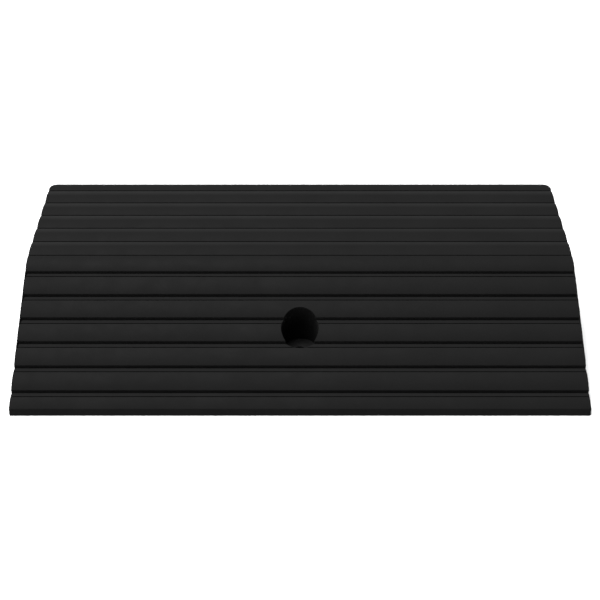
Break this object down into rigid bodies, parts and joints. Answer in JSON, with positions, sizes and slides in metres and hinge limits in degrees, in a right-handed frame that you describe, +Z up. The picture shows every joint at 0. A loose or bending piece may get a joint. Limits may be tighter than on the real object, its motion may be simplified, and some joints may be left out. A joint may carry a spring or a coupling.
{
  "type": "kerb ramp",
  "caption": "Ribbed rubber wedge that bridges a low kerb or door sill for wheelchairs, with a counterbored anchor hole over a steel seat and a pocketed underside.",
  "frame": {"origin": "middle of the ramp's footprint, on the ground", "axes": "+Z up; +Y towards the kerb or sill, so the incline rises from the front edge at -Y to the rear face at +Y; +X along the width, to the right as seen from the front"},
  "size_m": [0.6, 0.3, 0.1002],
  "materials": {
    "rubber": "moulded black rubber, fine even grain, satin",
    "blackened_steel": "blackened steel, matt",
    "plated_steel": "zinc-plated steel tube"
  },
  "bodies": {
    "root": {"ramp_body": "rubber", "seat_washer": "blackened_steel", "anchor_sleeve": "plated_steel"}
  },
  "joints": []
}
